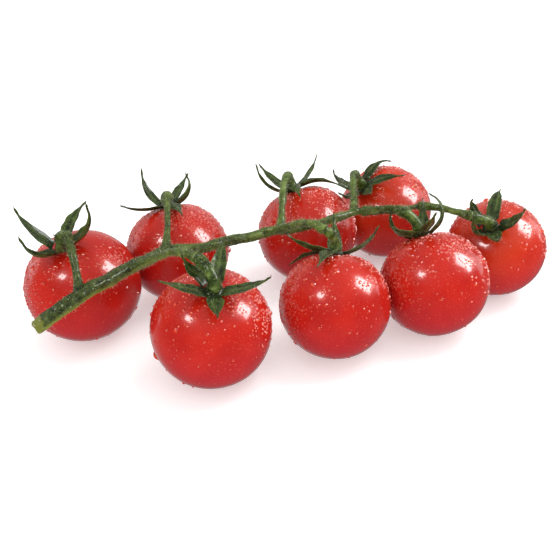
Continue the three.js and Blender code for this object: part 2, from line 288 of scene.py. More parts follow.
floor_reach = 3.0 #  metres from the middle to each side
floor_glow = 0.35 #  lifts the shadows under and between the fruits
floor_look = new_look("pale_floor")
set_shader(floor_look, {
    "Base Color": (0.9, 0.9, 0.9, 1),
    "Roughness": 0.9,
    "Emission Color": (1, 1, 1, 1),
    "Emission Strength": floor_glow,
})
floor_corners = [(x * floor_reach, y * floor_reach, 0) for x, y in ((-1, -1), (1, -1), (1, 1), (-1, 1))]
floor = new_piece("floor", floor_corners, [(0, 1, 2, 3)], floor_look)
floor.visible_glossy = False  # a white table mirrored in the skins would wash out their red

# %% [markdown]
# ## The red skin
#
# A ripe tomato's colour sits under a clear, waxy skin. The red is never quite even: it is deeper
# in some patches, more orange on the shoulders of the less ripe fruits, and sprinkled with very
# fine pale flecks. A painted picture would do, but noise in the fruit's own space needs no seams.
# A little light travels through the flesh, so the shader has some subsurface scattering, and a
# thin clear coat gives the wax its sharp highlights over a softer sheen.


# %% Red skin
def own_space(tree):
    """Places on a piece, measured in the piece's own space."""
    return Wire.add(tree, "ShaderNodeTexCoord", {}, {}, "Object")


def grain(tree, size, detail=2.0, length=1.0):
    """Soft noise from 0 to 1, in patches this many metres wide and length times that along X."""
    spot = Wire.add(tree, "ShaderNodeVectorMath", {"operation": "MULTIPLY"},
                    {0: own_space(tree), 1: (1 / length, 1, 1)})
    return Wire.add(tree, "ShaderNodeTexNoise", {}, {"Vector": spot, "Scale": 1 / size, "Detail": detail})


def marked(tree, name):
    """A mark that was stored on the mesh, corner by corner."""
    return Wire.add(tree, "ShaderNodeAttribute", {"attribute_name": name}, {}, "Fac")


def bumped(height, depth):
    """The normal of a surface raised by a wire from 0 to 1, over this depth."""
    sockets = {"Height": height, "Distance": depth, "Strength": 1.0}
    return Wire.add(height.tree, "ShaderNodeBump", {}, sockets, "Normal")


def red_skin():
    look = new_look("ripe_skin")
    tree = look.node_tree
    patches = grain(tree, 9 * mm).fade(0.3, 0.7)
    flecks = grain(tree, 0.5 * mm, 1).fade(0.62, 0.72)
    red = patches.blend(colour("#b0150b"), colour("#c01e0f"))
    # painted shade: the lower half turns a darker crimson, standing in for shade and the table's
    # reflection
    red = (marked(tree, "painted_underside_shade") * 0.85).blend(red, colour("#a01422"))
    red = marked(tree, "orange").blend(red, colour("#dc4a1c"))
    red = (flecks * 0.22).blend(red, colour("#d8694a"))
    red = marked(tree, "scar").blend(red, colour("#6b4a22"))
    pores = grain(tree, 0.7 * mm, 3)
    dents = grain(tree, 4 * mm, 1)
    set_shader(look, {
        "Base Color": red,
        "Roughness": 0.22 + 0.06 * pores,
        "Normal": bumped(pores * 0.15 + dents, 0.06 * mm),
        "Specular IOR Level": 0.22,
        "Subsurface Weight": 0.12,
        "Subsurface Radius": (1.0, 0.25, 0.12),
        "Subsurface Scale": 2 * mm,
        "Coat Weight": 0.5,
        "Coat Roughness": 0.1,
    })
    return look


ripe_skin = red_skin()
print("finish:", ripe_skin.name, len(ripe_skin.node_tree.nodes), "nodes")

# %% [markdown]
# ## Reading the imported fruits
#
# A packed fruit is a coarse lathe shape, and its two poles are the only corners where two dozen
# faces meet. They give its axis, and the distance between them gives its size. Measuring by eye
# would work too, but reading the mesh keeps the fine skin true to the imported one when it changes.


# %% Fruit facts
def merged(name):
    """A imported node's mesh with its doubled corners merged."""
    mesh = bmesh.new()
    mesh.from_mesh(nodes[name].data)
    bmesh.ops.remove_doubles(mesh, verts=mesh.verts, dist=1e-6)
    return mesh


def poles(mesh):
    """The two corners where the most edges meet: the ends of a turned or swept piece."""
    ranked = sorted(mesh.verts, key=lambda corner: -len(corner.link_edges))
    return ranked[0], ranked[1]


flatness = 0.97  #            height along the axis over width
stalk_dimple = 1.2 * mm
dimple_spread = math.radians(22)
blossom_dimple = 0.3 * mm
blossom_spread = math.radians(9)
uneven = 0.14 * mm #         how far the skin swells and sinks between its lobes
lobe_fineness = 1.6


class Fruit:
    """Where a packed fruit lies, which way it points, and its skin."""

    def __init__(self, number):
        self.number = number
        mesh = merged(f"tomato_{number}")
        ends = [corner.co.copy() for corner in poles(mesh)]
        low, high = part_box(f"calyx_{number}")
        ends.sort(key=lambda end: (end - (low + high) / 2).length)
        span = ends[0] - ends[1]
        self.axis = span.normalized()
        self.radius = (span.length + stalk_dimple + blossom_dimple) / (2 * flatness)
        self.centre = ends[0] - self.axis * (self.radius * flatness - stalk_dimple)
        self.turn = self.axis.to_track_quat("Z", "Y")
        self.cad_corners = [corner.co.copy() for corner in mesh.verts]
        mesh.free()

    def smooth_radius(self, way):
        """Distance from the centre to the skin, before any unevenness."""
        along = max(-1, min(1, way.dot(self.axis)))
        angle = math.acos(along)
        out = self.radius * (1 - (1 - flatness) * along ** 2)
        out -= stalk_dimple * math.exp(-(angle / dimple_spread) ** 2)
        return out - blossom_dimple * math.exp(-((math.pi - angle) / blossom_spread) ** 2)

    def skin(self, way):
        """The point of the uneven skin in a direction. Nothing reaches below the table."""
        another_place = Vector((self.number * 7.3, 0, 0))  # so that no two fruits are alike
        lobes = noise.noise(way * lobe_fineness + another_place)
        point = self.centre + way * (self.smooth_radius(way) + uneven * lobes)
        point.z = max(point.z, 0)
        return point


fruits = [Fruit(number) for number in numbers]
for fruit in fruits:
    spokes = [corner - fruit.centre for corner in fruit.cad_corners if corner.z > 0.1 * mm]
    gaps = [abs(spoke.length - fruit.smooth_radius(spoke.normalized())) for spoke in spokes]
    print(f"tomato_{fruit.number}: radius {fruit.radius / mm:.2f} mm,"
          f" packed corners within {max(gaps) / mm:.3f} mm")

# %% [markdown]
# ## The fruits
#
# Each fruit is turned on its own axis, with the dimple at the stalk, faint lobes from the seed
# chambers and a small scar at the blossom end. A subdivided ball would be quicker, but a grid of
# rings from pole to pole follows the dimple better. Three marks are stored on the corners for the
# finish: how orange the shoulder is, where the scar lies, and a painted shade that turns the lower
# half a darker crimson, as shade and the pale table's reflection would.

# %% Fruit meshes
ring_count = 76
ring_corners = 112
# how orange each fruit's shoulder is: the ones near the tip of a truss ripen last
shoulder_orange = [0.05, 0.1, 0.05, 0.3, 0.15, 0.75, 0.12, 0.55]
shoulder_reach = 1.1 #   radians round the stalk
scar_reach = 0.05 #      radians round the blossom end
# the painted shade on each fruit's lower half is set by these two numbers
underside_shade_sharpness = 3 #    how quickly the red turns crimson going down
underside_shade_drop = 0.1 #       below the widest line, as a share of the radius


def bump(distance, reach):
    """A soft hill: 1 at no distance, 0.37 at its reach, and almost 0 from twice its reach on."""
    return math.exp(-(distance / reach) ** 2)


def ring_faces(rings, corners, first=0):
    """Quads between rings of corners, numbered ring by ring."""
    return [
        (first + ring * corners + step, first + ring * corners + (step + 1) % corners,
         first + (ring + 1) * corners + (step + 1) % corners, first + (ring + 1) * corners + step)
        for ring in range(rings - 1) for step in range(corners)
    ]


def end_fans(rings, corners, first=0):
    """Triangles that close both ends, around two last corners: the near end's and the far end's."""
    near = first + rings * corners
    last = first + (rings - 1) * corners
    fans = [(first + (step + 1) % corners, first + step, near) for step in range(corners)]
    return fans + [(last + step, last + (step + 1) % corners, near + 1) for step in range(corners)]


def mark(piece, name, values):
    """Stores one number for each corner of a piece, which its finish reads."""
    layer = piece.data.attributes.new(name, "FLOAT", "POINT")
    layer.data.foreach_set("value", np.asarray(values, np.float32))


def fruit_ways(fruit):
    """Directions of the corners of a fruit's mesh, from the blossom end to the stalk end."""
    ways = []
    for ring in range(1, ring_count + 1):
        angle = math.pi * (1 - ring / (ring_count + 1))
        for step in range(ring_corners):
            turn = math.tau * step / ring_corners
            flat = math.sin(angle)
            ways.append(Vector((flat * math.cos(turn), flat * math.sin(turn), math.cos(angle))))
    ways += [Vector((0, 0, -1)), Vector((0, 0, 1))]
    return [fruit.turn @ way for way in ways]


def grow_fruit(fruit):
    """One fruit's fine skin, with its marks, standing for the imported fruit."""
    ways = fruit_ways(fruit)
    faces = ring_faces(ring_count, ring_corners) + end_fans(ring_count, ring_corners)
    piece = new_piece(f"ripe_tomato_{fruit.number}", [fruit.skin(way) for way in ways], faces, ripe_skin)
    angles = [math.acos(max(-1, min(1, way.dot(fruit.axis)))) for way in ways]
    orange = shoulder_orange[fruit.number - 1]
    patchy = [0.75 + 0.5 * noise.noise(way * 2 + Vector((0, fruit.number, 0))) for way in ways]
    mark(piece, "orange", [orange * bump(angle, shoulder_reach) * share
                           for angle, share in zip(angles, patchy)])
    # painted shade: near 1 on the lower half, about half a little below the widest line, near 0 on top
    mark(piece, "painted_underside_shade", [0.5 - 0.5 * math.tanh(underside_shade_sharpness * (way.z + underside_shade_drop)) for way in ways])
    mark(piece, "scar", [0.8 * bump(math.pi - angle, scar_reach) for angle in angles])
    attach(piece, "root")
    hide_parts(f"tomato_{fruit.number}")
    return piece


fruit_pieces = [grow_fruit(fruit) for fruit in fruits]
print("fruit corners each:", len(fruit_pieces[0].data.vertices))

# %% [markdown]
# ## The green skin
#
# Stem, stalks and sepals share one kind of skin: leafy green, mottled lighter and darker, nearly
# matte, with a thin film of water that glints here and there. What differs is told by marks on the
# mesh, such as a straw-coloured cut or a dried sepal tip, and also by painted shade in the creases
# at the forks and painted light on the proud places. Three finishes built one by one would drift
# apart, so one function makes them all from their shades and marks, and they stay related, as they
# are on the plant.


# %% Green finishes
def green_skin(name, shades, marks, streak=1.0, length=1.0):
    """A mottled green finish from its dark, middling and light shades.

    marks: (mark's name, colour laid over, how strongly). streak: how strong the light patches
    are. length: how much longer than wide the patches are, along X.
    """
    look = new_look(name)
    tree = look.node_tree
    dark, body, light = [colour(shade) for shade in shades]
    broad = grain(tree, 2.2 * mm, 3, length)
    fine = grain(tree, 0.5 * mm, 3, 0.5 + 0.5 * length)
    stretches = grain(tree, 6 * mm, 1, length)
    green = broad.fade(0.3, 0.56).blend(dark, body)
    green = (stretches.fade(0.5, 0.62) * 0.6).blend(green, dark)
    green = (broad.fade(0.5, 0.75) * 0.6 * streak).blend(green, light)
    green = (fine.fade(0.56, 0.7) * 0.45).blend(green, light)
    green = ((1 - fine).fade(0.58, 0.72) * 0.4).blend(green, dark)
    for mark_name, over, share in marks:
        green = (marked(tree, mark_name) * share).blend(green, colour(over))
    set_shader(look, {
        "Base Color": green,
        "Roughness": 0.42 + 0.25 * fine,
        "Normal": bumped(fine + broad * 0.6, 0.2 * mm),
        "Specular IOR Level": 0.12,
        "Coat Weight": 0.28,
        "Coat Roughness": 0.12,
        "Subsurface Weight": 0.08,
        "Subsurface Radius": (0.6, 1.0, 0.3),
        "Subsurface Scale": 0.6 * mm,
    })
    return look


# of these marks, the crease one is painted shade and the proud-place one is painted light
stem_marks = [("old", "#152008", 0.9), ("flank", "#8f9430", 0.8), ("painted_crease_shade", "#18240a", 0.9),
              ("painted_ridge_light", "#93a550", 0.5), ("cut", "#71742c", 0.9), ("pith", "#4b5220", 0.75)]
stem_green = green_skin("stem_green", ("#1a260b", "#3e511a", "#94a855"), stem_marks, length=3.5)
stalk_green = green_skin("stalk_green", ("#1f2d0c", "#42561b", "#8ea252"), stem_marks)
sepal_marks = [("edge", "#6f7e3a", 0.35), ("vein", "#7c8c46", 0.3), ("tip", "#33200f", 0.8),
               ("root", "#1f2c0e", 0.6)]
sepal_green = green_skin("sepal_green", ("#17220a", "#2d3e15", "#687b33"), sepal_marks, 0.6)
print("green finishes:", stem_green.name, stalk_green.name, sepal_green.name)

# %% [markdown]
# ## The main stem
#
# The stem and its eight lower stalks are one growth, so their forks must flow into each other. A
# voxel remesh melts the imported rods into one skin, and smoothing rounds the forks. Then every
# corner is moved a little along its normal by noise, which gives the knobbly, slightly ribbed
# growth of a real stem. Sculpting by hand would do the same, but could not be run again.


# %% Melting and roughening
def corners_of(mesh):
    """A mesh's corners as rows of numbers."""
    points = np.empty(len(mesh.vertices) * 3)
    mesh.vertices.foreach_get("co", points)
    return points.reshape(-1, 3)


def normals_of(mesh):
    """The directions in which a mesh's corners face, as rows of numbers."""
    ways = np.empty(len(mesh.vertices) * 3)
    mesh.vertex_normals.foreach_get("vector", ways)
    return ways.reshape(-1, 3)


def settle(piece):
    """Applies a piece's modifiers, so that its corners can be read and moved."""
    graph = bpy.context.evaluated_depsgraph_get()
    mesh = bpy.data.meshes.new_from_object(piece.evaluated_get(graph))
    piece.modifiers.clear()
    piece.data = mesh
    mesh.shade_smooth()


def soften(piece, times):
    """Softens a piece by moving each corner halfway to its neighbours, this many times."""
    softener = piece.modifiers.new("soften", "SMOOTH")
    softener.factor = 0.5
    softener.iterations = times
    settle(piece)


def melt(piece, voxel, times):
    """Turns a piece into one skin of small even quads, then softens it."""
    remesh = piece.modifiers.new("melt", "REMESH")
    remesh.mode = "VOXEL"
    remesh.voxel_size = voxel
    soften(piece, times)


def roughen(piece, layers):
    """Moves corners along their normals by noise. layers: (patch size, depth)."""
    points, ways = corners_of(piece.data), normals_of(piece.data)
    for size, depth in layers:
        push = np.array([noise.noise(Vector(point) / size) for point in points])
        points += ways * (push * depth)[:, None]
    piece.data.vertices.foreach_set("co", points.ravel())
    piece.data.update()


def copy_of_node(name, piece_name, look):
    """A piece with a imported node's own mesh."""
    mesh = merged(name)
    piece = new_piece(piece_name, [], [], look)
    mesh.to_mesh(piece.data)
    mesh.free()
    return piece


# %% Painted shade in creases and painted light on proud places
def paint_fold_shade_and_light(piece, reach, times):
    """Marks painted shade in creases and painted light on proud places, by comparing with a softer copy.
    """
    points, ways = corners_of(piece.data), normals_of(piece.data)
    soft = in_scene(bpy.data.objects.new("soft copy", piece.data.copy()))
    soften(soft, times)
    depth = ((corners_of(soft.data) - points) * ways).sum(axis=1) / reach
    bpy.data.objects.remove(soft)
    mark(piece, "painted_crease_shade", np.clip(depth, 0, 1))
    mark(piece, "painted_ridge_light", np.clip(-depth, 0, 1) * 0.6)


# %% Grow the main stem
stem_voxel = 0.26 * mm
# the painted shade and painted light reach full strength at this depth
fold_depth = 0.16 * mm #  a hollow or a ridge of this depth is marked in full
stem = copy_of_node("main_stem", "truss_stem", stem_green)
melt(stem, stem_voxel, 5)
roughen(stem, [(5 * mm, 0.35 * mm), (1.6 * mm, 0.16 * mm), (0.6 * mm, 0.07 * mm)])
# painted shade in the stem's creases and painted light on its proud places
paint_fold_shade_and_light(stem, fold_depth, 30)
print("main stem corners:", len(stem.data.vertices))

# %% [markdown]
# ## The cut end
#
# The left end was snipped with shears: a flat, slightly ragged face, paler than the skin, with
# a soft pith in the middle. The green skin has drawn back a little, so the last few millimetres
# are bare core. A separate plug could be stuck on, but it would show a seam. So the end is found in
# the stem's own mesh: its corners are drawn in towards the middle up to a ragged line, the face is
# dished, and both are marked for the finish. So are the stem's oldest stretch next to the cut,
# which is darker, and the underside of that stretch, which is yellower.


# %% Cut end
face_corners = 200 #        the corners furthest left, which cover the face of the cut
end_reach = 12 * mm #       the stretch whose middle shows which way the stem runs
lump_size = 0.8 * mm
skin_edge = 0.12 * mm #     how soft the step between skin and core is
face_thickness = 1.5 * mm
pith_reach = 1.3 * mm
old_reach = 46 * mm
flank_reach = 38 * mm


def shape_cut_end(piece, bared, step, dish, ragged):
    """Bares the last stretch of the stem down to its core, and dishes the face of the cut."""
    points, ways = corners_of(piece.data), normals_of(piece.data)
    end = points[np.argsort(points[:, 0])[:face_corners]].mean(axis=0)
    near = np.linalg.norm(points - end, axis=1) < end_reach
    inward = points[near].mean(axis=0) - end
    inward /= np.linalg.norm(inward)
    along = (points - end) @ inward
    out = points - end - np.outer(along, inward)
    across = np.linalg.norm(out, axis=1)
    lump = np.array([noise.noise(Vector(point) / lump_size) for point in points])
    core = near / (1 + np.exp(np.clip((along - bared - 0.5 * lump * mm) / skin_edge, -50, 50)))
    on_face = np.clip(-(ways @ inward) * 1.6 - 0.5, 0, 1) * (along < face_thickness) * near
    centred = np.exp(-(across / pith_reach) ** 2)
    points -= (out / np.maximum(across, 1e-6)[:, None]) * (core * (step + 0.12 * mm * lump))[:, None]
    points += np.outer(on_face * (dish * centred + ragged * lump), inward)
    piece.data.vertices.foreach_set("co", points.ravel())
    piece.data.update()
    mark(piece, "cut", core)
    mark(piece, "pith", on_face * centred)
    underside = np.clip(0.15 - ways[:, 2] * 1.5, 0, 1)
    mark(piece, "flank", underside * np.exp(-((along / flank_reach) ** 4)))
    mark(piece, "old", np.exp(-((along / old_reach) ** 4)))
    print("corners on the cut face:", int((on_face > 0.5).sum()))


shape_cut_end(stem, bared=2.6 * mm, step=0.16 * mm, dish=0.6 * mm, ragged=0.3 * mm)
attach(stem, "root")
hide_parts("main_stem")

# %% [markdown]
# ## The upper stalks
#
# A ripe tomato comes off at a knuckle: a swollen joint with a fine groove round it, where the
# upper stalk parts from the lower one. A remesh, as on the stem, would wipe out that groove. But
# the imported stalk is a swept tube, so its rings of corners can be read one after another from its
# first pole. A smooth tube is swept through them again, a little longer at both ends so that it
# meets the knuckle and the calyx, and drawn in at the groove.


# %% Reading rings and sweeping tubes
def rings_from(pole, most=40):
    """The rings of corners round a pole, one after another, while they keep the same number."""
    seen, ring, sides = {pole}, [pole], len(pole.link_edges)
    for _ in range(most):
        ahead = []
        for corner in ring:
            for edge in corner.link_edges:
                other = edge.other_vert(corner)
                if other not in seen:
                    seen.add(other)
                    ahead.append(other)
        if len(ahead) != sides:
            return
        ring = ahead
        yield [corner.co.copy() for corner in ring]


def middle_of(points):
    """The mean of some points."""
    return sum(points, Vector()) / len(points)


def smooth_line(values, steps):
    """Vectors on a smooth curve through the given ones, with this many steps between two."""
    ends = [values[0] * 2 - values[1], *values, values[-1] * 2 - values[-2]]
    line = []
    for before, start, end, after in zip(ends, ends[1:], ends[2:], ends[3:]):
        for step in range(steps):
            t = step / steps
            line.append(0.5 * (2 * start + (end - before) * t
                               + (2 * before - 5 * start + 4 * end - after) * t ** 2
                               + (3 * start - before - 3 * end + after) * t ** 3))
    return line + [values[-1].copy()]


def smooth_numbers(values, steps):
    """The same curve for plain numbers, such as the radii along a stalk."""
    return [point.x for point in smooth_line([Vector((value, 0, 0)) for value in values], steps)]


def tube(line, radii, sides):
    """Corners and faces of a closed tube along a line."""
    points = []
    side = (line[1] - line[0]).orthogonal().normalized()
    for count, (point, radius) in enumerate(zip(line, radii)):
        ahead = (line[min(count + 1, len(line) - 1)] - line[max(count - 1, 0)]).normalized()
        side = (side - ahead * side.dot(ahead)).normalized()
        other = ahead.cross(side)
        for step in range(sides):
            turn = math.tau * step / sides
            points.append(point + (side * math.cos(turn) + other * math.sin(turn)) * radius)
    faces = ring_faces(len(line), sides) + end_fans(len(line), sides)
    return points + [line[0], line[-1]], faces


# %% Grow the upper stalks
groove_depth = 0.16 #        as a share of the radius
groove_reach = 0.5 * mm
# how strongly shade is painted into the groove
groove_shade = 0.4
reach_into_knuckle = 0.55 * mm
reach_into_calyx = 0.5 * mm
hidden_end = 0.9 #           the end inside the knuckle is this much thinner
stalk_steps = 8 #            between two packed rings
stalk_sides = 40
# how stout each stalk is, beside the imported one
stoutness = [0.74, 0.92, 0.95, 0.96, 0.86, 0.95, 0.95, 0.95]


def stalk_course(number):
    """Points and radii of a packed upper stalk, from its knuckle to its calyx."""
    mesh = merged(f"upper_stalk_{number}")
    first, last = poles(mesh)
    low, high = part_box(f"calyx_{number}")
    if (first.co - (low + high) / 2).length < (last.co - (low + high) / 2).length:
        first, last = last, first
    rings = list(rings_from(first))
    middles = [middle_of(ring) for ring in rings]
    radii = [(ring[0] - middle).length for ring, middle in zip(rings, middles)]
    mesh.free()
    return middles, radii


def grow_stalk(number):
    """One upper stalk with its groove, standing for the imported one."""
    middles, radii = stalk_course(number)
    middles.insert(0, middles[0] + (middles[0] - middles[1]).normalized() * reach_into_knuckle)
    middles.append(middles[-1] + (middles[-1] - middles[-2]).normalized() * reach_into_calyx)
    radii = [radius * stoutness[number - 1] for radius in (radii[0] * hidden_end, *radii, radii[-1])]
    line = smooth_line(middles, stalk_steps)
    widths = smooth_numbers(radii, stalk_steps)
    gone = np.cumsum([0] + [(b - a).length for a, b in zip(line, line[1:])])
    widths = [width * (1 - groove_depth * bump(along - reach_into_knuckle, groove_reach))
              for width, along in zip(widths, gone)]
    points, faces = tube(line, widths, stalk_sides)
    piece = new_piece(f"stalk_{number}", points, faces, stalk_green)
    roughen(piece, [(3 * mm, 0.2 * mm), (0.9 * mm, 0.09 * mm)])
    # painted shade in the groove round the knuckle
    groove = [bump(max(along - reach_into_knuckle, 0), 1.2 * groove_reach) for along in gone]
    mark(piece, "painted_crease_shade", np.append(np.repeat(groove, stalk_sides), (1, 0)) * groove_shade)
    mark(piece, "flank", np.clip(-normals_of(piece.data)[:, 2] * 1.2 - 0.2, 0, 1))
    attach(piece, "root")
    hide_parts(f"upper_stalk_{number}")
    return piece


stalks = [grow_stalk(number) for number in numbers]
print("upper stalks:", len(stalks), "corners each:", len(stalks[0].data.vertices))

# %% [markdown]
# ## The calyxes
#
# A calyx is a small star of five narrow sepals on a thick little disc. Each sepal is a leaf blade:
# a raised midrib, edges that lift or droop, a slightly wavy outline, and a fine tip that curls and
# dries brown. Flat leaf shapes could be bent into place, but they would have no thickness. The
# packed blades are coarse, but their rings give the course, width and tilt of every sepal, so a
# finer blade with a bent, ribbed section is lofted along each course. Disc and blades are then
# joined by a boolean, so that no hidden faces are left inside.

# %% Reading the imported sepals
blade_corners = 6
sepals_each = 5
blade_rings = 7


def sepal_courses(fruit):
    """For each packed sepal: its middles from root to tip, its half widths and side directions."""
    mesh = merged(f"calyx_{fruit.number}")
    courses = []
    for corner in mesh.verts:
        rings = list(rings_from(corner, blade_rings)) if len(corner.link_edges) == blade_corners else []
        if len(rings) < blade_rings:
            continue
        pairs = [max(itertools.combinations(ring, 2), key=lambda pair: (pair[0] - pair[1]).length)
                 for ring in rings[::-1]]
        middles = [middle_of(ring) for ring in rings[::-1]]
        sides = [(a - b).normalized() for a, b in pairs]
        for before, after in zip(sides, sides[1:]):
            if before.dot(after) < 0:
                after.negate()
        courses.append((middles, [(a - b).length / 2 for a, b in pairs], sides))
    mesh.free()
    return courses


courses_of = {fruit.number: sepal_courses(fruit) for fruit in fruits}
for number, courses in courses_of.items():
    print(f"calyx_{number}:", len(courses), "sepals, widest",
          round(2 * max(max(widths) for _, widths, _ in courses) / mm, 2), "mm")
    assert len(courses) == sepals_each

# %% Growing a blade
blade_steps = 6 #            between two packed rings
section_corners = 20
blade_thickness = 0.8 * mm
sepal_fullness = 1.22 #      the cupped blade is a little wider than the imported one
tip_thickness = 0.28 * mm
rib_height = 0.22 * mm
tip_reach = 1.3 * mm #       the dry, hair-fine end past the last packed ring
tip_halves = [0.14 * mm, 0.06 * mm]
least_half = 0.05 * mm
outline_waver = 0.14 #       how much a blade's width swells and narrows
edge_waver = 0.22 #          and how much its edges lift and droop


def blade_section(middle, side, face, half, thickness, cup, wave):
    """One ring round a blade: thick along its middle, thin and lifted at both edges."""
    ring = []
    for step in range(section_corners):
        turn = math.tau * step / section_corners
        wide, thick = math.cos(turn), math.sin(turn)
        rib = rib_height * bump(wide, 0.22) * min(half / mm, 1) * (1 if thick > 0 else -0.8)
        lift = cup * half * wide ** 2 + wave * wide
        body = thickness / 2 * thick * (1 - 0.45 * wide ** 2)
        height = lift + body + (rib if abs(thick) > 0.3 else 0)
        ring.append(middle + side * (half * wide) + face * height)
    return ring


def blade(course, fruit, draw):
    """Corners, faces and marks of one sepal."""
    middles, halves, sides = course
    root = middles[0] + (middles[0] - middles[1]) * 0.9  # reaches back into the disc
    past = (middles[-1] - middles[-2]).normalized()
    curl = (past + Vector([draw.uniform(-0.6, 0.6) for _ in range(3)])).normalized()
    middles = [root, *middles, middles[-1] + past * tip_reach * 0.5]
    middles.append(middles[-1] + curl * tip_reach * 0.5)
    halves = [half * sepal_fullness for half in (halves[0], *halves)] + tip_halves
    sides = [sides[0], *sides, sides[-1], sides[-1]]
    line = smooth_line(middles, blade_steps)
    widths = [max(half, least_half) for half in smooth_numbers(halves, blade_steps)]
    turns = smooth_line(sides, blade_steps)
    cup = draw.uniform(0.1, 0.65)
    seed = draw.uniform(0, 50)
    points, marks = [], []
    for count, (middle, half, side) in enumerate(zip(line, widths, turns)):
        share = count / (len(line) - 1)
        ahead = (line[min(count + 1, len(line) - 1)] - line[max(count - 1, 0)]).normalized()
        side = (side - ahead * side.dot(ahead)).normalized()
        face = ahead.cross(side)
        if count == 0:
            flip = 1 if face.dot(middle - fruit.centre) > 0 else -1
        half *= 1 + outline_waver * noise.noise(Vector((seed, 0, share * 7)))
        wave = edge_waver * half * noise.noise(Vector((seed, 9, share * 6)))
        thickness = blade_thickness + (tip_thickness - blade_thickness) * share ** 0.7
        ring = blade_section(middle, side, face * flip, half, thickness, cup, wave)
        points += ring if flip > 0 else ring[::-1]
        marks += [(share, abs(math.cos(math.tau * step / section_corners)))
                  for step in range(section_corners)]
    faces = ring_faces(len(line), section_corners) + end_fans(len(line), section_corners)
    points += [line[0], line[-1]]
    return points, faces, marks + [(0, 0), (1, 0)]


# %% Joining a calyx
hub_rim = 0.7 * mm
hub_height = 1.25 * mm
hub_sides = 40
hub_sunk = 0.35 * mm #       the disc's underside lies this far under the skin, so no gap shows


def hub_profile(fruit, reach):
    """(distance from the axis, height along it) from the disc's underside over its rim to its top."""
    floor_height = fruit.radius * flatness - stalk_dimple - hub_sunk
    rise = hub_sunk + hub_height
    return [(reach * 0.55, floor_height), (reach * 0.95, floor_height + rise * 0.3),
            (reach, floor_height + rise * 0.55), (reach * 0.86, floor_height + rise * 0.85),
            (reach * 0.6, floor_height + rise), (reach * 0.25, floor_height + rise)]


def hub_disc(fruit, reach):
    """Corners and faces of the thick little disc, with a slight lobe towards each sepal."""
    points = []
    profile = hub_profile(fruit, reach)
    for out, height in profile:
        for step in range(hub_sides):
            turn = math.tau * step / hub_sides
            lobe = 1 + 0.05 * math.cos(sepals_each * turn)
            local = Vector((out * lobe * math.cos(turn), out * lobe * math.sin(turn), height))
            points.append(fruit.centre + fruit.turn @ local)
    for height in (profile[0][1], profile[-1][1]):
        points.append(fruit.centre + fruit.axis * height)
    return points, ring_faces(len(profile), hub_sides) + end_fans(len(profile), hub_sides)


def united(name, parts, look):
    """One piece from closed parts that overlap, with a boolean union."""
    pieces = [new_piece(f"{name}_part", points, faces, look) for points, faces in parts]
    for piece in pieces:
        shape = bmesh.new()
        shape.from_mesh(piece.data)
        bmesh.ops.recalc_face_normals(shape, faces=shape.faces)
        shape.to_mesh(piece.data)
        shape.free()
    whole = pieces[0]
    for piece in pieces[1:]:
        joiner = whole.modifiers.new("join", "BOOLEAN")
        joiner.operation = "UNION"
        joiner.solver = "MANIFOLD"
        joiner.object = piece
    settle(whole)
    for piece in pieces[1:]:
        bpy.data.objects.remove(piece)
    whole.name = name
    return whole


def grow_calyx(fruit):
    """One calyx with its marks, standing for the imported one."""
    draw = random.Random(40 + fruit.number)
    _, radii = stalk_course(fruit.number)
    grown = [blade(course, fruit, draw) for course in courses_of[fruit.number]]
    hub_reach = radii[-1] * stoutness[fruit.number - 1] + hub_rim
    parts = [hub_disc(fruit, hub_reach)] + [(points, faces) for points, faces, _ in grown]
    piece = united(f"green_calyx_{fruit.number}", parts, sepal_green)
    tree = KDTree(sum(len(points) for points, _, _ in grown))
    marks = [mark_pair for _, _, marks in grown for mark_pair in marks]
    for index, point in enumerate(point for points, _, _ in grown for point in points):
        tree.insert(point, index)
    tree.balance()
    found = [tree.find(Vector(point)) for point in corners_of(piece.data)]
    shares = np.array([marks[index][0] for _, index, _ in found])
    offsets = np.array([marks[index][1] for _, index, _ in found])
    mark(piece, "tip", np.clip((shares - 0.8) * 6, 0, 1))
    mark(piece, "edge", np.clip((offsets - 0.7) * 3, 0, 1) * (shares > 0.1))
    mark(piece, "vein", np.exp(-(offsets / 0.16) ** 2) * (shares > 0.15) * (shares < 0.85))
    mark(piece, "root", np.clip(1 - shares * 7, 0, 1))
    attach(piece, "root")
    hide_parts(f"calyx_{fruit.number}")
    return piece


calyxes = [grow_calyx(fruit) for fruit in fruits]
print("calyx corners:", [len(piece.data.vertices) for piece in calyxes])

# %% [markdown]
# ## The down of hairs
#
# Tomato stems are covered with short pale hairs, which catch the light as a soft halo along every
# edge. Blender's hair system would grow them, but real mesh hairs are part of the model itself.
# Each is a thin three-sided cone with one bend, rooted at a random point of the green skin. Near
# the cut end, where the truss was held, some of the hairs have worn off.


# %% Scattering and growing hairs
hair_width = 0.055 * mm
worn_reach = 44 * mm #  along X from the cut end
worn_share = 0.6 #      of the hairs, at the cut end itself
hair_look = new_look("pale_hair")
hair_shade = marked(hair_look.node_tree, "along").blend(colour("#7f955c"), colour("#d9dfc4"))
set_shader(hair_look, {"Base Color": hair_shade, "Roughness": 0.45})


def scatter(piece, count, draw):
    """Random points spread evenly over a piece, each with the skin's normal there."""
    mesh = piece.data
    mesh.calc_loop_triangles()
    triangles = mesh.loop_triangles
    chosen = draw.choices(range(len(triangles)), weights=[face.area for face in triangles], k=count)
    spots = []
    for index in chosen:
        a, b, c = (mesh.vertices[corner].co for corner in triangles[index].vertices)
        u, v = draw.random(), draw.random()
        if u + v > 1:
            u, v = 1 - u, 1 - v
        spots.append((a + (b - a) * u + (c - a) * v, Vector(triangles[index].normal)))
    return spots


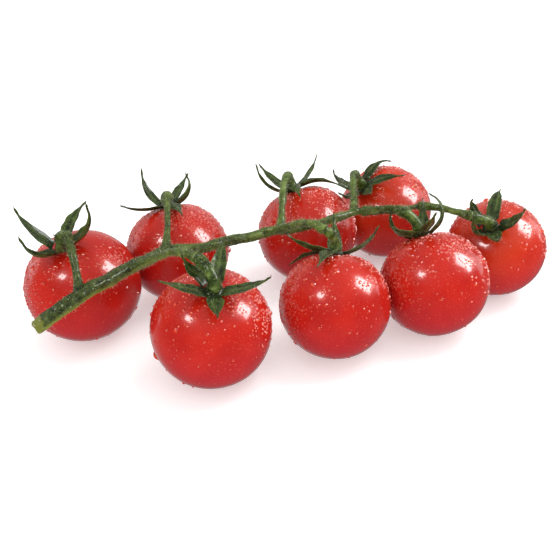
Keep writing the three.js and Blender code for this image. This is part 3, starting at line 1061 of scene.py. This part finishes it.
def hair(root, way, length, width, draw):
    """Corners and faces of one bent, pointed hair."""
    lean = Vector([draw.gauss(0, 1) for _ in range(3)])
    rise = (way + lean * 0.35).normalized()
    bend = (rise + lean * 0.3).normalized()
    side = rise.orthogonal().normalized()
    other = rise.cross(side)
    stations = [(root - way * 0.1 * mm, width), (root + rise * length * 0.5, width * 0.7)]
    points = [place + (side * math.cos(turn) + other * math.sin(turn)) * reach / 2
              for place, reach in stations for turn in (0, math.tau / 3, 2 * math.tau / 3)]
    points.append(root + rise * length * 0.5 + bend * length * 0.5)
    faces = [(2, 1, 0), (0, 1, 4, 3), (1, 2, 5, 4), (2, 0, 3, 5), (3, 4, 6), (4, 5, 6), (5, 3, 6)]
    return points, faces


def grow_hairs(name, pieces, per_square_mm, length, draw):
    """One piece that holds all the hairs of some green pieces."""
    points, faces, along = [], [], []
    for piece in pieces:
        area = sum(face.area for face in piece.data.polygons) / mm ** 2
        for root, way in scatter(piece, int(area * per_square_mm), draw):
            if draw.random() < worn_share * bump(root.x - cad_low.x, worn_reach):
                continue
            grown, sides = hair(root, way, length * draw.uniform(0.5, 1.4), hair_width, draw)
            faces += [tuple(len(points) + corner for corner in side) for side in sides]
            points += grown
            along += [0, 0, 0, 0.5, 0.5, 0.5, 1]
    hairs = new_piece(name, points, faces, hair_look)
    mark(hairs, "along", along)
    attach(hairs, "root")
    print(name, len(points) // 7, "hairs")
    return hairs


# %% Grow the hairs
hair_draw = random.Random(11)
# each piece of hairs: its name, what it grows on, hairs on a square millimetre, length and slot
for name, pieces, per_square_mm, length, slot in (
        ("stem_hairs", [stem], 2.4, 0.85 * mm, "stem_green"),
        ("stalk_hairs", stalks, 2.2, 0.7 * mm, "stalk_green"),
        ("sepal_hairs", calyxes, 1.0, 0.5 * mm, "sepal_green")):
    grow_hairs(name, pieces, per_square_mm, length, hair_draw)

# %% [markdown]
# ## Water
#
# The fruits have been washed. Water stands on the waxy skin as round beads, crowded on the upper
# sides and in drifts, and sparse below, where it has run off. Bump in the skin's finish would be
# cheaper, but beads have to break the outline, so each is a small closed dome of its own. Beads
# are placed one by one and refused where they would overlap. A real bead shows the red behind it:
# dark on the side of the lamp, and bright on the far side, where it gathers the light. Clear glass
# domes do this by refraction, but they need very many samples, so this light and shade are painted
# instead: a mark on the mesh tells the finish which side is which, and the finish paints that side
# dark and the far side bright. A clear coat mirrors the lamps.

# %% Where the water stands
# for each fruit: where the beads crowd, as (bearing, height above the table, spread) in degrees
drifts = {
    1: [(178, 5, 34), (150, 50, 30), (-35, 42, 12)],
    2: [(60, 60, 38), (165, 30, 28), (-18, 38, 28), (-60, 66, 18)],
    3: [(-16, 30, 26), (60, 62, 40), (-30, 58, 18), (150, 55, 24)],
    4: [(50, 50, 38), (168, 28, 34), (-18, 42, 30), (-60, 70, 22)],
    5: [(172, 20, 32), (75, 50, 34), (-10, 35, 22), (130, 55, 26)],
    6: [(-8, 45, 34), (80, 55, 40), (-20, 62, 20)],
    7: [(172, 18, 34), (75, 62, 32), (-12, 30, 26), (-60, 66, 18)],
    8: [(130, 45, 30), (-12, 32, 28), (75, 60, 28)],
}
# and on each of them two small patches of larger beads, as (bearing, height, spread, beads)
front_patches = [(-68, 46, 9, 30), (-131, 41, 6, 14)]
# the few big drops: (fruit, bearing, height, radius in mm)
big_drops = [(6, -55, 50, 0.9), (8, 88, 57, 1.2), (8, -42, 34, 0.75), (7, -32, 36, 0.85),
             (7, -16, 12, 0.8), (3, 172, -24, 1.5), (2, -19, 2, 0.95), (5, -150, 48, 0.7),
             (4, -8, 10, 0.8), (1, 118, 44, 0.7), (5, 170, 36, 0.8), (3, -12, 12, 0.75)]


sparse, sparse_on_top = 0.012, 0.05 #  how likely beads are away from the drifts


def crowding(fruit, way):
    """How likely a bead is to stand here, from 0 to 1."""
    crowd = sparse + sparse_on_top * max(way.z, 0)
    for bearing, height, spread in drifts[fruit.number]:
        angle = math.degrees(way.angle(direction(bearing, height)))
        crowd = max(crowd, bump(angle, spread))
    clumps = 0.55 + 1.0 * noise.noise(way * 5 + Vector((fruit.number * 3.1, 0, 5)))
    return crowd * max(clumps, 0.12)


# %% Placing beads
class Beads:
    """Beads chosen so far, sorted into cubic cells so that neighbours are found quickly."""

    least_gap = 0.96 #  between two beads' middles, as a share of their radii together

    def __init__(self, cell):
        self.cell = cell
        self.held = {}

    def add(self, point, way, radius):
        """Keeps a bead, unless it would overlap one in its own cell or in a cell next to it."""
        x, y, z = (math.floor(side / self.cell) for side in point)
        for i, j, k in itertools.product((-1, 0, 1), repeat=3):
            for other, _, reach in self.held.get((x + i, y + j, z + k), []):
                if (other - point).length < (radius + reach) * self.least_gap:
                    return
        self.held.setdefault((x, y, z), []).append((point, way, radius))

    def all(self):
        """Every bead, as its point, the skin's normal there and its radius."""
        return [bead for beads in self.held.values() for bead in beads]


def tree_of(pieces):
    """A search tree over the faces of several pieces."""
    points, faces = [], []
    for piece in pieces:
        first = len(points)
        points += [corner.co.copy() for corner in piece.data.vertices]
        faces += [[first + corner for corner in face.vertices] for face in piece.data.polygons]
    return BVHTree.FromPolygons(points, faces)


bead_radius, largest_bead = 0.24, 0.6 #  in mm: a middling small bead and the largest one
bead_variety = 0.38
patch_radii = 0.26, 0.42 #               in mm: the smallest and the largest in a patch
dry_margin = 0.2 * mm #                  kept free of beads round the green parts
drop_cell = 2.4 * mm #                   wider than the two largest neighbours on a fruit together


def wet_fruit(fruit, piece, greens, tries, draw):
    """Beads on one fruit: the big drops first, then as many small ones as find room."""
    skin_tree = tree_of([piece])
    beads = Beads(drop_cell)
    wanted = [(direction(bearing, height), radius * mm)
              for number, bearing, height, radius in big_drops if number == fruit.number]
    for bearing, height, spread, count in front_patches:
        for _ in range(count):
            way = direction(bearing + spread * draw.gauss(0, 0.7), height + spread * draw.gauss(0, 0.5))
            wanted.append((way, draw.uniform(*patch_radii) * mm))
    for _ in range(tries):
        way = Vector([draw.gauss(0, 1) for _ in range(3)]).normalized()
        if draw.random() < crowding(fruit, way):
            radius = bead_radius * math.exp(draw.gauss(0, bead_variety))
            wanted.append((way, min(radius, largest_bead) * mm))
    for way, radius in wanted:
        point, normal, _, _ = skin_tree.ray_cast(fruit.centre + way * 2 * fruit.radius, -way)
        clear_of_table = point is not None and point.z > 1.2 * radius
        if clear_of_table and greens.find_nearest(point, radius + dry_margin)[0] is None:
            beads.add(point, normal, radius)
    return beads.all()


# %% Building beads
bead_sides = 10
bead_levels = 3
bead_sunk = 0.04 * mm


def bead_mesh(beads, name, look, draw):
    """One piece of closed domes, a little sunk into the skin, each slightly out of round."""
    points, faces, painted_bead_light = [], [], []
    for point, way, radius in beads:
        side = way.orthogonal().normalized()
        other = way.cross(side)
        stretch, tall = draw.uniform(0.9, 1.12), draw.uniform(0.62, 0.9)
        first = len(points)
        for level in range(bead_levels):
            angle = math.pi / 2 * level / bead_levels
            out, up = math.cos(angle), radius * tall * math.sin(angle) - bead_sunk
            for step in range(bead_sides):
                turn = math.tau * step / bead_sides
                spread = side * (stretch * math.cos(turn)) + other * (math.sin(turn) / stretch)
                points.append(point + spread * (out * radius) + way * up)
                # painted light and shade: 0 on the side towards the large softbox, 1 on the far side
                painted_bead_light.append(0.5 - 0.5 * out * spread.dot(large_lamp_way))
        points += [point - way * 1.5 * bead_sunk, point + way * (radius * tall - bead_sunk)]
        painted_bead_light += [0.5, 0.5]
        faces += ring_faces(bead_levels, bead_sides, first) + end_fans(bead_levels, bead_sides, first)
    piece = new_piece(name, points, faces, look)
    mark(piece, "painted_bead_light", painted_bead_light)
    ends = np.empty(2 * len(piece.data.edges), np.int32)
    piece.data.edges.foreach_get("vertices", ends)
    foot = ends.reshape(-1, 2) % (bead_sides * bead_levels + 2) < bead_sides
    # a sharp edge round the foot, so that the hidden underside doesn't darken the dome's shading
    crease = piece.data.attributes.new("sharp_edge", "BOOLEAN", "EDGE")
    crease.data.foreach_set("value", foot.all(axis=1))
    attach(piece, "root")


def water_over(name, dark, bright):
    """Water over a skin whose colour shows through it, with light and shade painted on from a mark."""
    look = new_look(name)
    shade = marked(look.node_tree, "painted_bead_light").fade(0.25, 0.95).blend(colour(dark), colour(bright))
    set_shader(look, {
        "Base Color": shade,
        "Roughness": 0.3,
        "Specular IOR Level": 0.2,
        "Coat Weight": 1.0,
        "Coat Roughness": 0.09,
        "Coat IOR": 1.35,
    })
    return look


# painted colours: dark on each bead's lamp side and bright on its far side, in place of refracted light
water = water_over("water_over_red", "#b0180e", "#f2653a")
green_water = water_over("water_over_green", "#2c3c1c", "#a9ba86")
greens = tree_of([stem, *stalks, *calyxes])
bead_tries = 20000
bead_count = 0
for fruit, piece in zip(fruits, fruit_pieces):
    draw = random.Random(700 + fruit.number)
    beads = wet_fruit(fruit, piece, greens, bead_tries, draw)
    bead_mesh(beads, f"water_on_tomato_{fruit.number}", water, draw)
    bead_count += len(beads)
print("beads on the fruits:", bead_count)

# %% Water on the greens
green_draw = random.Random(77)
green_beads = Beads(1.5 * mm)
green_bead_radius = 0.13 #  in mm
lowest_way = -0.3 #         how far down a skin may face and still hold water
wet_greens = [(stem, 500)] + [(stalk, 36) for stalk in stalks] + [(calyx, 60) for calyx in calyxes]
for piece, count in wet_greens:
    for point, way in scatter(piece, count, green_draw):
        if way.z > lowest_way:
            radius = green_bead_radius * math.exp(green_draw.gauss(0.1, 0.35)) * mm
            green_beads.add(point, way, radius)
bead_mesh(green_beads.all(), "water_on_greens", green_water, green_draw)
print("beads on the greens:", len(green_beads.all()))

# %% [markdown]
# ## Sparkle
#
# Each bead mirrors the two softboxes as a pinpoint, and a studio flash is so bright that even
# these pinpoints shine white. Brighter softboxes would do the same, but they would burn out the
# skins. So light linking gives the water a brighter pair of lamps that touches nothing else.

# %% Lamps for the beads alone
sparkle = 260 #  beside 22 and 26 for the softboxes that the skins mirror
wet_things = bpy.data.collections.new("wet things")
for item in list(bpy.context.scene.objects):
    if item.name.startswith("water_on_"):
        wet_things.objects.link(item)
for item in (softbox("large_sparkle", large_lamp_place, 170 * mm, 200 * mm, sparkle),
             softbox("small_sparkle", small_lamp_place, 130 * mm, 90 * mm, sparkle)):
    item.visible_diffuse = False
    item.light_linking.receiver_collection = wet_things
